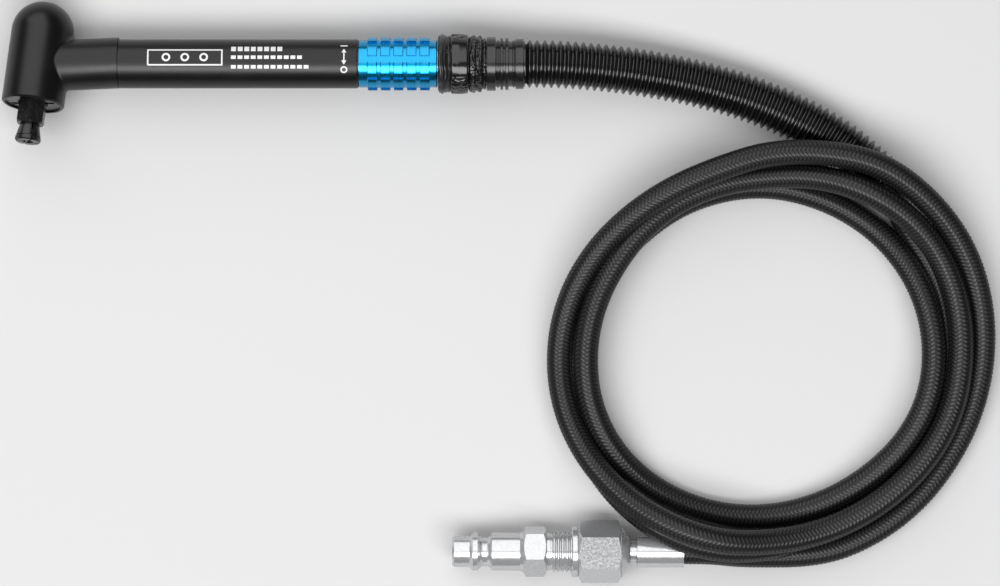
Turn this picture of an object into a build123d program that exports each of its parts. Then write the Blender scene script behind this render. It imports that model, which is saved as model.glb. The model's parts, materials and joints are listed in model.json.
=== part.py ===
from build123d import *
import os
from math import asin, atan2, cos, degrees, pi, radians, sin, sqrt, tan

os.makedirs("parts", exist_ok=True)

# An angle-head pneumatic micro grinder with its coiled air hose and quick-connect plug.
# Millimetres and degrees. The tool lies on a table, z = 0 is the table top, +X runs along
# the barrel from the head to the hose, and the nose of the head points to -Y.

# ---- gaps ----
FIT = 0.03          # round a piece that is fixed in its seat
RUN = 0.05          # round a piece that turns or slides

# ---- head ----
HEAD_R = 9.75
HEAD_LEAN = 6.2     # the head leans this much past square to the barrel
HEAD_ROLL = 13.1    # and is rolled about the barrel, nose upwards
DOME_AT = -10.2     # centre of the dome, along the head's axis from the barrel's axis
RIM_AT = 13.3       # open end of the head
NECK_R = 7.95
NECK_TILT = 2.4     # the outside of the neck slopes a little to the barrel's axis
NECK_RISE = 0.3     # and stands this far off it at the seam

# ---- barrel, throttle and rear end: stations along the barrel from the head's axis ----
SEAM_AT = 25.1
BARREL_R = 7.625
BARREL_BORE_R = 6.65
BARREL_END = 99.75
SLEEVE_START, SLEEVE_END = 99.85, 124.4
SLEEVE_R = 7.4
PAD_R = 8.35
PAD_ROOT_R = 7.55
PAD_START, PAD_PITCH, PAD_LENGTH = 102.7, 4.07, 3.03
PAD_ROWS, PAD_COUNT, PAD_GAP = 5, 9, 2.1
PAD_CLOCK = 31.5    # angle of the first gap from straight up
SLEEVE_BORE_R = 6.26
THROTTLE_TRAVEL = 55
VALVE_R = 6.2
SOCKET_START = 126.9
CUFF_START, TOOL_END = 139.8, 151.7

# ---- bearings: bore radius, outer radius, width ----
SHAFT_BEARING = (2.0, 5.5, 4.0)
UPPER_BEARING = (1.5, 4.0, 4.0)
LOWER_BEARING = (3.0, 7.5, 4.0)
BALL_COUNT = 7

# ---- bevel gears ----
MODULE = 0.68
PINION_TEETH, CROWN_TEETH = 14, 18
FACE_WIDTH = 2.5

# ---- spindle nose and collet ----
NOSE_FLATS = 8.0
NOSE_END = RIM_AT + 6.3
COLLET_END = RIM_AT + 11.97
TOOL_SHANK_R = 1.5
NOSE_CLOCK = -30

# ---- motor ----
LINER_R, LINER_BORE_R, LINER_OFFSET = 6.6, 5.2, 0.5
ROTOR_R, VANE_SLOT_DEPTH = 4.65, 2.4
MOTOR_START, MOTOR_END = 35.5, 61.5

# ---- hoses ----
EXHAUST_R, EXHAUST_BORE_R = 7.45, 5.75
HOSE_R, HOSE_BORE_R = 4.0, 2.85

# ---- coil: its outer shape ----
COIL_X, COIL_Y = 158.1, -88.8
COIL_OUTER_X, COIL_OUTER_Y = 70.6, 68.6
COIL_HOLE_X, COIL_HOLE_Y = 50.4, 47.0
COIL_HOLE_DX, COIL_HOLE_DY = -2.6, 1.2
COIL_TOP = 16.0

# ---- coupling: stations are x in the model ----
COUPLING_Y, COUPLING_Z = -149.5, 8.5
PLUG_TIP, PLUG_END = 58.7, 103.2
PLUG_BORE_R = 3.6
PLUG_HEX_START, PLUG_HEX_END = 80.9, 88.1
PLUG_FLATS, NUT_FLATS = 14.0, 17.0
THREAD_R, THREAD_ROOT_R, THREAD_PITCH, THREAD_RIDGES = 6.5, 5.75, 1.337, 9
NUT_START, NUT_HEX_START, NUT_HEX_END, NUT_END = 96.0, 98.1, 111.5, 114.2
FERRULE_START, FERRULE_END, FERRULE_R = 116.4, 130.9, 5.0

# ---- frames ----
lean, roll = radians(HEAD_LEAN), radians(HEAD_ROLL)
HEAD_DIR = Vector(-sin(lean), -cos(lean) * cos(roll), cos(lean) * sin(roll))
BARREL_DIR = Vector(1, 0, 0)
BARREL_Z = HEAD_R - DOME_AT * HEAD_DIR.Z    # the dome just touches the table
CROSSING = Vector(-70.3, 2.7, BARREL_Z)     # where the two axes cross

HEAD_ACROSS = (BARREL_DIR - HEAD_DIR * BARREL_DIR.dot(HEAD_DIR)).normalized()
BARREL_AXIS = Axis(CROSSING, BARREL_DIR)
HEAD_AXIS = Axis(CROSSING, HEAD_DIR)
BARREL_SECTION = Plane(origin=CROSSING, x_dir=BARREL_DIR, z_dir=(0, -1, 0))
HEAD_SECTION = Plane(origin=CROSSING, x_dir=HEAD_DIR, z_dir=HEAD_DIR.cross(HEAD_ACROSS))
COUPLING_ORIGIN = Vector(0, COUPLING_Y, COUPLING_Z)
COUPLING_AXIS = Axis(COUPLING_ORIGIN, BARREL_DIR)
COUPLING_SECTION = Plane(origin=COUPLING_ORIGIN, x_dir=BARREL_DIR, z_dir=(0, -1, 0))


def barrel_plane(station, radial=Vector(0, 0, 1)):
    """A plane square to the barrel, its x pointing the given way."""
    return Plane(origin=CROSSING + BARREL_DIR * station, x_dir=radial, z_dir=BARREL_DIR)


def head_plane(station):
    """A plane square to the head's axis, its z towards the nose."""
    return Plane(origin=CROSSING + HEAD_DIR * station, x_dir=HEAD_ACROSS, z_dir=HEAD_DIR)


def barrel_section_at(angle):
    """The barrel's half section, turned about the barrel's axis."""
    a = radians(angle)
    return Plane(origin=CROSSING, x_dir=BARREL_DIR, z_dir=(0, -cos(a), -sin(a)))


def radial_plane(station, angle):
    """A plane through the barrel's axis whose z points out of it at the given angle."""
    a = radians(angle)
    origin = CROSSING + BARREL_DIR * station
    return Plane(origin=origin, x_dir=BARREL_DIR, z_dir=(0, -sin(a), cos(a)))


def band(start, end, inner, outer):
    """Outline of a plain ring, as (along, radius) points."""
    return [(start, inner), (end, inner), (end, outer), (start, outer)]


def spin(outline, section, axis, arc=360, mode=Mode.ADD):
    """Turn a closed (along, radius) outline about an axis, in the open part."""
    with BuildSketch(section) as profile:
        with BuildLine():
            Polyline(*outline, close=True)
        make_face()
    revolve(profile.sketch, axis=axis, revolution_arc=arc, mode=mode)


pieces = {}


def turned(name, outline, section=BARREL_SECTION, axis=BARREL_AXIS):
    """A piece that is wholly one turned outline."""
    with BuildPart() as piece:
        spin(outline, section, axis)
    pieces[name] = piece


# ================= head =================
NECK_BORE_R = SHAFT_BEARING[1] + FIT
CHAMBER_R, CHAMBER_TOP, CHAMBER_END = 7.0, -7.4, 6.0
SEAT_END = 10.1
RING_THREAD_R = 8.6
SPIGOT_END = 30.0
SPIGOT_R = 6.6
NECK_FILLET = 1.2
neck_dir = Vector(cos(radians(NECK_TILT)), sin(radians(NECK_TILT)), 0)
neck_start = CROSSING + Vector(SEAM_AT, NECK_RISE, 0) + neck_dir * 1.5

with BuildPart() as head_housing:
    with BuildSketch(HEAD_SECTION):
        with BuildLine():
            Line((DOME_AT - HEAD_R, 0), (RIM_AT, 0))
            Line((RIM_AT, 0), (RIM_AT, HEAD_R - 0.5))
            Line((RIM_AT, HEAD_R - 0.5), (RIM_AT - 0.5, HEAD_R))
            Line((RIM_AT - 0.5, HEAD_R), (DOME_AT, HEAD_R))
            RadiusArc((DOME_AT, HEAD_R), (DOME_AT - HEAD_R, 0), -HEAD_R)
        make_face()
    revolve(axis=HEAD_AXIS)
    with BuildSketch(Plane(origin=neck_start, x_dir=(0, 0, 1), z_dir=-neck_dir)):
        Circle(NECK_R)
    extrude(amount=SEAM_AT + 1.5)
    junction = head_housing.edges(Select.NEW).filter_by(lambda edge: edge.center().X < CROSSING.X + 15)
    fillet(junction, NECK_FILLET)
    spin(band(SEAM_AT, SEAM_AT + 4, 0, NECK_R + 3), BARREL_SECTION, BARREL_AXIS, mode=Mode.SUBTRACT)
    spin(band(SEAM_AT - 1, SPIGOT_END, 0, SPIGOT_R), BARREL_SECTION, BARREL_AXIS)
    spin(band(2, SPIGOT_END + 1, 0, NECK_BORE_R), BARREL_SECTION, BARREL_AXIS, mode=Mode.SUBTRACT)
    for start, end, radius in (
        (CHAMBER_TOP - 5.2, CHAMBER_TOP + 0.2, UPPER_BEARING[1] + FIT),
        (CHAMBER_TOP, CHAMBER_END + 0.2, CHAMBER_R),
        (CHAMBER_END, SEAT_END + 0.2, LOWER_BEARING[1] + FIT),
        (SEAT_END, RIM_AT + 1, RING_THREAD_R),
    ):
        spin(band(start, end, 0, radius), HEAD_SECTION, HEAD_AXIS, mode=Mode.SUBTRACT)
pieces["head_housing"] = head_housing

RING_OUT = 12.75
with BuildPart() as nose_ring:
    spin(band(SEAT_END + 0.05, RING_OUT, 4.7, RING_THREAD_R - FIT), HEAD_SECTION, HEAD_AXIS)
    with BuildSketch(head_plane(RING_OUT)):
        with PolarLocations(5.6, 4, start_angle=20):
            SlotOverall(3.6, 1.7)
    extrude(amount=-1.1, mode=Mode.SUBTRACT)
pieces["nose_ring"] = nose_ring

# ================= ball bearings =================


def bearing_rings(name, size, start, section, axis):
    """Outer and inner race of a ball bearing, with their grooves."""
    bore, outer, width = size
    pitch = (bore + outer) / 2
    groove = 0.3 * (outer - bore) + 0.04
    half_gap = 0.19 * (outer - bore)
    for label, inner_r, outer_r in (
        ("outer_race", pitch + half_gap, outer),
        ("inner_race", bore, pitch - half_gap),
    ):
        with BuildPart() as race:
            spin(band(start, start + width, inner_r, outer_r), section, axis)
            with BuildSketch(section) as ball_path:
                with Locations((start + width / 2, pitch)):
                    Circle(groove)
            revolve(ball_path.sketch, axis=axis, mode=Mode.SUBTRACT)
        pieces[f"{name}_{label}"] = race


def bearing_cage(name, size, middle_plane):
    """The cage of a ball bearing with its balls, about a plane at the bearing's middle."""
    bore, outer, width = size
    pitch = (bore + outer) / 2
    ball_r = 0.3 * (outer - bore)
    half_wall = 0.1 * (outer - bore)
    with BuildPart(middle_plane) as cage:
        Cylinder(pitch + half_wall, 0.86 * width)
        Cylinder(pitch - half_wall, width, mode=Mode.SUBTRACT)
        with PolarLocations(pitch, BALL_COUNT):
            Cylinder(ball_r + 0.06, 4 * half_wall, rotation=(0, 90, 0), mode=Mode.SUBTRACT)
            Sphere(ball_r)
    pieces[f"{name}_balls"] = cage


PINION_BEARING_AT, FRONT_BEARING_AT, REAR_BEARING_AT = 9.6, 30.05, 63.05
for bearing, station in (
    ("pinion_bearing", PINION_BEARING_AT),
    ("front_bearing", FRONT_BEARING_AT),
    ("rear_bearing", REAR_BEARING_AT),
):
    bearing_rings(bearing, SHAFT_BEARING, station, BARREL_SECTION, BARREL_AXIS)
    bearing_cage(bearing, SHAFT_BEARING, barrel_plane(station + SHAFT_BEARING[2] / 2))

UPPER_BEARING_AT, LOWER_BEARING_AT = -12.5, 6.03
for bearing, size, station in (
    ("upper_bearing", UPPER_BEARING, UPPER_BEARING_AT),
    ("lower_bearing", LOWER_BEARING, LOWER_BEARING_AT),
):
    bearing_rings(bearing, size, station, HEAD_SECTION, HEAD_AXIS)
    bearing_cage(bearing, size, head_plane(station + size[2] / 2))

# ================= bevel gears =================
# The crown gear sits on the dome side of the crossing, so the two axes meet there at
# less than a right angle.
shaft_angle = radians(90 - HEAD_LEAN)
tooth_ratio = CROWN_TEETH / PINION_TEETH
PINION_CONE = atan2(sin(shaft_angle), tooth_ratio + cos(shaft_angle))
CROWN_CONE = shaft_angle - PINION_CONE
CONE_LENGTH = MODULE * CROWN_TEETH / 2 / sin(CROWN_CONE)
ADDENDUM, DEDENDUM = 0.72 * MODULE, 1.15 * MODULE
TOOTH_HALF = 0.215 * pi * MODULE    # under a quarter of the pitch, which leaves backlash


def tooth_outline(scale):
    """A straight-sided tooth: (height, width) points about the pitch line."""
    slope = tan(radians(22))
    foot = DEDENDUM + 0.12
    return [
        (-foot * scale, -(TOOTH_HALF + foot * slope) * scale),
        (ADDENDUM * scale, -(TOOTH_HALF - ADDENDUM * slope) * scale),
        (ADDENDUM * scale, (TOOTH_HALF - ADDENDUM * slope) * scale),
        (-foot * scale, (TOOTH_HALF + foot * slope) * scale),
    ]


def bevel_tooth(cone):
    """One tooth that tapers to the apex at the origin, on a gear whose axis is +Z."""
    outward = Vector(cos(cone), 0, -sin(cone))
    along = Vector(sin(cone), 0, cos(cone))
    with BuildPart() as tooth:
        for reach in (CONE_LENGTH, CONE_LENGTH - FACE_WIDTH):
            with BuildSketch(Plane(origin=along * reach, x_dir=outward, z_dir=along)):
                with BuildLine():
                    Polyline(*tooth_outline(reach / CONE_LENGTH), close=True)
                make_face()
        loft()
    return tooth


def bevel_blank(cone, bore_r, hub_r, hub_end):
    """The body of a bevel gear as (along, radius) points from the apex."""
    outline = []
    for reach in (CONE_LENGTH - FACE_WIDTH, CONE_LENGTH):
        root = DEDENDUM * reach / CONE_LENGTH
        outline.append((reach * cos(cone) + root * sin(cone), reach * sin(cone) - root * cos(cone)))
    small, big = outline
    return [(small[0], bore_r), small, big, (big[0] + 0.5, big[1]), (big[0] + 0.5, hub_r),
            (hub_end, hub_r), (hub_end, bore_r)]


def bevel_gear(plane, section, axis, cone, teeth, first_angle, bore_r, hub_r, hub_end):
    """Blank and teeth, in the open part."""
    spin(bevel_blank(cone, bore_r, hub_r, hub_end), section, axis)
    tooth = bevel_tooth(cone).part
    with Locations(plane):
        with PolarLocations(0, teeth, start_angle=first_angle):
            add(tooth)


crown_dir = -HEAD_DIR
crown_plane = Plane(origin=CROSSING, x_dir=HEAD_ACROSS, z_dir=crown_dir)
crown_section = Plane(origin=CROSSING, x_dir=crown_dir, z_dir=crown_dir.cross(HEAD_ACROSS))
pinion_across = (crown_dir - BARREL_DIR * crown_dir.dot(BARREL_DIR)).normalized()
pinion_plane = Plane(origin=CROSSING, x_dir=pinion_across, z_dir=BARREL_DIR)

CROWN_BORE_R, CROWN_HUB_R, CROWN_HUB_END = 2.0, 3.2, 7.3
with BuildPart() as crown_gear:
    bevel_gear(crown_plane, crown_section, HEAD_AXIS, CROWN_CONE, CROWN_TEETH,
               180 / CROWN_TEETH, CROWN_BORE_R, CROWN_HUB_R, CROWN_HUB_END)
pieces["crown_gear"] = crown_gear

PINION_SHAFT_END = 27.0
PINION_HUB_R = 2.9
DRIVE_SQUARE, DRIVE_SQUARE_START = 2.0, 24.4
SHAFT_R = SHAFT_BEARING[0] - 0.02
with BuildPart() as pinion_shaft:
    bevel_gear(pinion_plane, BARREL_SECTION, BARREL_AXIS, PINION_CONE, PINION_TEETH,
               0, 0, PINION_HUB_R, PINION_BEARING_AT - 0.05)
    spin(band(PINION_BEARING_AT - 0.2, DRIVE_SQUARE_START + 0.1, 0, SHAFT_R), BARREL_SECTION, BARREL_AXIS)
    with BuildSketch(barrel_plane(DRIVE_SQUARE_START)):
        Rectangle(DRIVE_SQUARE, DRIVE_SQUARE)
    extrude(amount=PINION_SHAFT_END - DRIVE_SQUARE_START)
pieces["pinion_shaft"] = pinion_shaft

# ================= spindle and collet =================
COLLET_THREAD_R = 2.08
SEAT_START = 16.6       # the cone that closes the collet
JOURNAL_CLEARANCE = 0.02
TOP_JOURNAL_R = UPPER_BEARING[0] - JOURNAL_CLEARANCE
LOWER_JOURNAL_R = LOWER_BEARING[0] - JOURNAL_CLEARANCE
GEAR_SEAT_R, GEAR_SEAT_START, GEAR_SEAT_END = CROWN_BORE_R - FIT, -8.45, -3.3
BODY_R, BODY_END = 2.6, 5.95
FLANGE_R, FLANGE_END = 4.2, 12.9
HEXAGON_START = FLANGE_END - 0.1
with BuildPart() as spindle:
    spin([(UPPER_BEARING_AT + 0.2, 0), (UPPER_BEARING_AT + 0.2, TOP_JOURNAL_R),
          (GEAR_SEAT_START, TOP_JOURNAL_R), (GEAR_SEAT_START, GEAR_SEAT_R), (GEAR_SEAT_END, GEAR_SEAT_R),
          (GEAR_SEAT_END, BODY_R), (BODY_END, BODY_R), (BODY_END, LOWER_JOURNAL_R),
          (SEAT_END, LOWER_JOURNAL_R), (SEAT_END, FLANGE_R), (FLANGE_END, FLANGE_R), (FLANGE_END, 0)],
         HEAD_SECTION, HEAD_AXIS)
    with BuildSketch(head_plane(HEXAGON_START)):
        RegularPolygon(NOSE_FLATS / 2, 6, major_radius=False, rotation=NOSE_CLOCK)
    extrude(amount=NOSE_END - HEXAGON_START)
    spin([(NOSE_END - 0.9, 4.75), (NOSE_END + 0.1, 3.9), (NOSE_END + 0.1, 4.9),
          (NOSE_END - 0.9, 4.9)], HEAD_SECTION, HEAD_AXIS, mode=Mode.SUBTRACT)
    spin(band(4.6, NOSE_END + 1, 0, COLLET_THREAD_R), HEAD_SECTION, HEAD_AXIS, mode=Mode.SUBTRACT)
    spin([(SEAT_START, 0), (SEAT_START, COLLET_THREAD_R), (NOSE_END + 0.05, 3.05),
          (NOSE_END + 0.05, 0)], HEAD_SECTION, HEAD_AXIS, mode=Mode.SUBTRACT)
pieces["spindle"] = spindle

COLLET_START, SLIT_START, SLIT_WIDTH = 6.0, 10.0, 0.55
LIP_START = COLLET_END - 1.55
with BuildPart() as collet:
    spin([(COLLET_START, TOOL_SHANK_R), (COLLET_START, 2.02), (SEAT_START, 2.02), (NOSE_END, 2.92),
          (LIP_START - 0.2, 3.85), (LIP_START - 0.1, 3.6), (LIP_START + 0.1, 3.6), (LIP_START + 0.25, 4.0),
          (COLLET_END - 0.35, 4.0), (COLLET_END, 3.65), (COLLET_END, 1.75),
          (COLLET_END - 0.25, TOOL_SHANK_R)], HEAD_SECTION, HEAD_AXIS)
    with BuildSketch(head_plane(SLIT_START)):
        with PolarLocations(0, 2, start_angle=-24, angular_range=180):
            Rectangle(9, SLIT_WIDTH)
    extrude(amount=COLLET_END - SLIT_START + 1, mode=Mode.SUBTRACT)
pieces["collet"] = collet

# ================= motor =================
turned("barrel_tube", [
    (SEAM_AT + 0.03, BARREL_BORE_R), (SEAM_AT + 0.03, BARREL_R - 0.15), (SEAM_AT + 0.18, BARREL_R),
    (BARREL_END - 0.3, BARREL_R), (BARREL_END, BARREL_R - 0.3), (BARREL_END, BARREL_BORE_R)])
turned("spacer_tube", band(PINION_BEARING_AT + 4.05, FRONT_BEARING_AT - 0.03, 4.6, NECK_BORE_R - FIT))

PIN_R, PIN_AT = 0.5, 5.95
PIN_START, PIN_END = 34.4, 62.6
PLATE_BORE_R = 2.4
MOTOR_STACK_START, MOTOR_STACK_END = 30.03, 67.2


def dowel_hole(start, end):
    """Drill for the dowel that clocks the motor, in the open part."""
    with BuildSketch(barrel_plane(start)) as hole:
        with Locations((-PIN_AT, 0)):
            Circle(PIN_R + FIT)
    extrude(hole.sketch, amount=end - start, mode=Mode.SUBTRACT)


with BuildPart() as front_plate:
    pocket_end = FRONT_BEARING_AT + SHAFT_BEARING[2] + 0.05
    spin([(MOTOR_STACK_START, NECK_BORE_R), (MOTOR_STACK_START, LINER_R), (MOTOR_START - 0.02, LINER_R),
          (MOTOR_START - 0.02, PLATE_BORE_R), (pocket_end, PLATE_BORE_R), (pocket_end, NECK_BORE_R)],
         BARREL_SECTION, BARREL_AXIS)
    dowel_hole(PIN_START - 0.1, MOTOR_START + 0.5)
pieces["front_plate"] = front_plate

with BuildPart() as rear_plate:
    pocket_start = REAR_BEARING_AT - 0.05
    spin([(MOTOR_END + 0.02, PLATE_BORE_R), (MOTOR_END + 0.02, LINER_R), (MOTOR_STACK_END, LINER_R),
          (MOTOR_STACK_END, NECK_BORE_R), (pocket_start, NECK_BORE_R), (pocket_start, PLATE_BORE_R)],
         BARREL_SECTION, BARREL_AXIS)
    dowel_hole(MOTOR_END - 0.5, PIN_END + 0.1)
pieces["rear_plate"] = rear_plate

with BuildPart() as cylinder_liner:
    spin(band(MOTOR_START, MOTOR_END, 0, LINER_R), BARREL_SECTION, BARREL_AXIS)
    with BuildSketch(barrel_plane(MOTOR_START)):
        with Locations((LINER_OFFSET, 0)):
            Circle(LINER_BORE_R)
    extrude(amount=MOTOR_END - MOTOR_START, mode=Mode.SUBTRACT)
    dowel_hole(MOTOR_START, MOTOR_END)
    for port_angle in (70, -70):
        with BuildSketch(radial_plane((MOTOR_START + MOTOR_END) / 2, port_angle)):
            with GridLocations(5, 1, 4, 1):
                Circle(0.9)
        extrude(amount=LINER_R + 1, mode=Mode.SUBTRACT)
pieces["cylinder_liner"] = cylinder_liner

with BuildPart() as liner_pin:
    with BuildSketch(barrel_plane(PIN_START)):
        with Locations((-PIN_AT, 0)):
            Circle(PIN_R)
    extrude(amount=PIN_END - PIN_START)
pieces["liner_pin"] = liner_pin

ROTOR_START, ROTOR_END = MOTOR_START + 0.1, MOTOR_END - 0.1
ROTOR_NOSE = 24.7
VANE_COUNT, VANE_THICKNESS = 4, 1.0
with BuildPart() as rotor:
    spin([(ROTOR_NOSE, 0), (ROTOR_NOSE, SHAFT_R), (ROTOR_START, SHAFT_R), (ROTOR_START, ROTOR_R),
          (ROTOR_END, ROTOR_R), (ROTOR_END, SHAFT_R), (MOTOR_STACK_END, SHAFT_R), (MOTOR_STACK_END, 0)],
         BARREL_SECTION, BARREL_AXIS)
    with BuildSketch(barrel_plane(ROTOR_START)):
        with PolarLocations(ROTOR_R - VANE_SLOT_DEPTH / 2 + 0.1, VANE_COUNT):
            Rectangle(VANE_SLOT_DEPTH + 0.2, VANE_THICKNESS + 2 * RUN)
    extrude(amount=ROTOR_END - ROTOR_START, mode=Mode.SUBTRACT)
    with BuildSketch(barrel_plane(ROTOR_NOSE)):
        Rectangle(DRIVE_SQUARE + 2 * RUN, DRIVE_SQUARE + 2 * RUN)
    extrude(amount=2.6, mode=Mode.SUBTRACT)
pieces["rotor"] = rotor

with BuildPart() as rotor_vanes:
    with BuildSketch(barrel_plane(ROTOR_START + 0.05)):
        with PolarLocations(ROTOR_R - VANE_SLOT_DEPTH / 2 - 0.03, VANE_COUNT):
            Rectangle(VANE_SLOT_DEPTH - 0.12, VANE_THICKNESS)
    extrude(amount=ROTOR_END - ROTOR_START - 0.1)
pieces["rotor_vanes"] = rotor_vanes

WASHER_START, WASHER_END = MOTOR_STACK_END + 0.05, 67.85
SPACER_START, SPACER_END, SPACER_BORE_R = WASHER_END + 0.05, 87.9, 5.2
turned("spring_washer", band(WASHER_START, WASHER_END, 4.7, 6.5))
turned("motor_spacer", band(SPACER_START, SPACER_END, SPACER_BORE_R, LINER_R))
turned("silencer", band(SPACER_START + 0.7, SPACER_END - 0.7, 2.4, SPACER_BORE_R - 0.05))

# ================= throttle =================
PORT_FRONT, PORT_REAR = 107.0, 114.0
SEAL_AT = (102.6, 121.4)
SEAL_R, SEAL_RADIUS = 0.39, 5.82
STOP_AT, STOP_ANGLE, STOP_R = 118.0, 135, 0.6
VALVE_START, THREAD_END = 88, 133.0
TAIL_R = 5.6            # the valve body behind the sleeve
BARB_SEAT_AT, BARB_SEAT_R = 126, 2.6
with BuildPart() as valve_body:
    spin([(VALVE_START, 0), (VALVE_START, LINER_R), (BARREL_END, LINER_R), (BARREL_END, VALVE_R),
          (SLEEVE_END + 0.2, VALVE_R), (SLEEVE_END + 0.2, TAIL_R), (THREAD_END, TAIL_R), (THREAD_END, 0)],
         BARREL_SECTION, BARREL_AXIS)
    spin(band(VALVE_START - 1, PORT_FRONT + 1.2, 0, 3.0), BARREL_SECTION, BARREL_AXIS, mode=Mode.SUBTRACT)
    spin(band(PORT_REAR - 1.2, BARB_SEAT_AT, 0, 1.6), BARREL_SECTION, BARREL_AXIS, mode=Mode.SUBTRACT)
    spin(band(BARB_SEAT_AT - 0.1, THREAD_END + 1, 0, BARB_SEAT_R), BARREL_SECTION, BARREL_AXIS,
         mode=Mode.SUBTRACT)
    for seal_station in SEAL_AT:
        spin(band(seal_station - 0.8, seal_station + 0.8, 5.4, 7), BARREL_SECTION, BARREL_AXIS,
             mode=Mode.SUBTRACT)
    for port_station in (PORT_FRONT, PORT_REAR):
        with BuildSketch(radial_plane(port_station, 0)):
            Circle(1.0)
        extrude(amount=VALVE_R + 1, mode=Mode.SUBTRACT)
    with BuildSketch(barrel_plane(VALVE_START)):
        with PolarLocations(4.3, 3, start_angle=90, angular_range=180):
            Circle(0.75)
    extrude(amount=THREAD_END - VALVE_START, mode=Mode.SUBTRACT)
    with BuildSketch(radial_plane(STOP_AT, STOP_ANGLE).offset(5.0)):
        Circle(STOP_R + FIT)
    extrude(amount=2, mode=Mode.SUBTRACT)
pieces["valve_body"] = valve_body

with BuildPart() as stop_pin:
    with BuildSketch(radial_plane(STOP_AT, STOP_ANGLE).offset(5.05)):
        Circle(STOP_R)
    extrude(amount=1.8)
pieces["stop_pin"] = stop_pin

with BuildPart() as sleeve_seals:
    for seal_station in SEAL_AT:
        with BuildSketch(BARREL_SECTION):
            with Locations((seal_station, SEAL_RADIUS)):
                Circle(SEAL_R)
        revolve(axis=BARREL_AXIS)
pieces["sleeve_seals"] = sleeve_seals

stop_half_angle = degrees(asin((STOP_R + 0.1) / VALVE_R))
with BuildPart() as throttle_sleeve:
    spin([(SLEEVE_START, SLEEVE_BORE_R), (SLEEVE_START, SLEEVE_R - 0.2), (SLEEVE_START + 0.2, SLEEVE_R),
          (SLEEVE_END - 0.3, SLEEVE_R), (SLEEVE_END, SLEEVE_R - 0.3), (SLEEVE_END, SLEEVE_BORE_R)],
         BARREL_SECTION, BARREL_AXIS)
    pads_end = PAD_START + PAD_PITCH * (PAD_ROWS - 1) + PAD_LENGTH
    spin(band(PAD_START, pads_end, SLEEVE_R - 0.5, PAD_ROOT_R), BARREL_SECTION, BARREL_AXIS)
    for row in range(PAD_ROWS):
        pad_at = PAD_START + PAD_PITCH * row
        spin([(pad_at, PAD_ROOT_R - 0.3), (pad_at, PAD_R - 0.2), (pad_at + 0.2, PAD_R),
              (pad_at + PAD_LENGTH - 0.2, PAD_R), (pad_at + PAD_LENGTH, PAD_R - 0.2),
              (pad_at + PAD_LENGTH, PAD_ROOT_R - 0.3)], BARREL_SECTION, BARREL_AXIS)
    with BuildSketch(barrel_plane(PAD_START)):
        with PolarLocations(PAD_ROOT_R + 1, PAD_COUNT, start_angle=PAD_CLOCK):
            Rectangle(2, PAD_GAP)
    extrude(amount=pads_end - PAD_START, mode=Mode.SUBTRACT)
    with BuildSketch(radial_plane((PORT_FRONT + PORT_REAR) / 2, -THROTTLE_TRAVEL)):
        Rectangle(PORT_REAR - PORT_FRONT + 3, 2.6)
    extrude(amount=6.9, mode=Mode.SUBTRACT)
    spin(band(STOP_AT - 0.8, STOP_AT + 0.8, 6.0, 6.98),
         barrel_section_at(STOP_ANGLE - THROTTLE_TRAVEL - stop_half_angle), BARREL_AXIS,
         arc=THROTTLE_TRAVEL + 2 * stop_half_angle, mode=Mode.SUBTRACT)
pieces["throttle_sleeve"] = throttle_sleeve

# ================= rear end =================
SOCKET_BORE_R = TAIL_R + RUN
SOCKET_END = 150.2
CLAMP_START, CLAMP_END = 128.5, 134.1
CLAMP_SEAT_R, TAPE_SEAT_R = 7.95, 6.9
SOCKET_TAIL_R = 6.4     # the socket inside the cuff
turned("rubber_ring", [
    (124.65, SOCKET_BORE_R), (124.65, 8.5), (125.1, 9.2), (125.8, 9.45), (126.5, 9.2), (126.88, 8.5),
    (126.88, SOCKET_BORE_R)])
turned("exhaust_socket", [
    (SOCKET_START, SOCKET_BORE_R), (SOCKET_START, 8.5), (CLAMP_START - 0.05, 8.5),
    (CLAMP_START - 0.05, CLAMP_SEAT_R), (CLAMP_END, CLAMP_SEAT_R), (CLAMP_END, TAPE_SEAT_R),
    (CUFF_START - 0.02, TAPE_SEAT_R), (CUFF_START - 0.02, SOCKET_TAIL_R), (SOCKET_END, SOCKET_TAIL_R),
    (SOCKET_END, EXHAUST_BORE_R), (THREAD_END + 0.2, EXHAUST_BORE_R), (THREAD_END + 0.2, SOCKET_BORE_R)])
turned("clamp_band", [
    (CLAMP_START, CLAMP_SEAT_R + FIT), (CLAMP_START, 9.1), (CLAMP_START + 0.3, 9.3),
    (CLAMP_END - 0.3, 9.3), (CLAMP_END, 9.1), (CLAMP_END, CLAMP_SEAT_R + FIT)])
turned("tape_wrap", [
    (CLAMP_END + 0.05, TAPE_SEAT_R + FIT), (CLAMP_END + 0.05, 8.5), (135.2, 9.0), (136.2, 8.6), (137.2, 9.0),
    (138.3, 8.4), (138.9, 8.0), (CUFF_START - 0.05, 8.0), (CUFF_START - 0.05, TAPE_SEAT_R + FIT)])
CUFF_ROOT_R = 7.1
CUFF_RIBS = [       # start, end and radius of each raised band on the cuff
    (CUFF_START, 142.55, 8.4), (142.95, 143.6, 7.4), (144.05, 144.85, 8.15), (145.55, 146.55, 8.15),
    (147.85, 148.4, 7.4), (148.75, 151.25, 7.85)]
RIB_CORNER, RIB_FOOT = 0.12, 0.08
cuff_outline = [(CUFF_START, SOCKET_TAIL_R + FIT)]
for rib_start, rib_end, rib_r in CUFF_RIBS:
    if rib_start > CUFF_START:
        cuff_outline.append((rib_start - RIB_FOOT, CUFF_ROOT_R))
    cuff_outline += [
        (rib_start, rib_r - RIB_CORNER), (rib_start + RIB_CORNER, rib_r), (rib_end - RIB_CORNER, rib_r),
        (rib_end, rib_r - RIB_CORNER), (rib_end + RIB_FOOT, CUFF_ROOT_R)]
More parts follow.
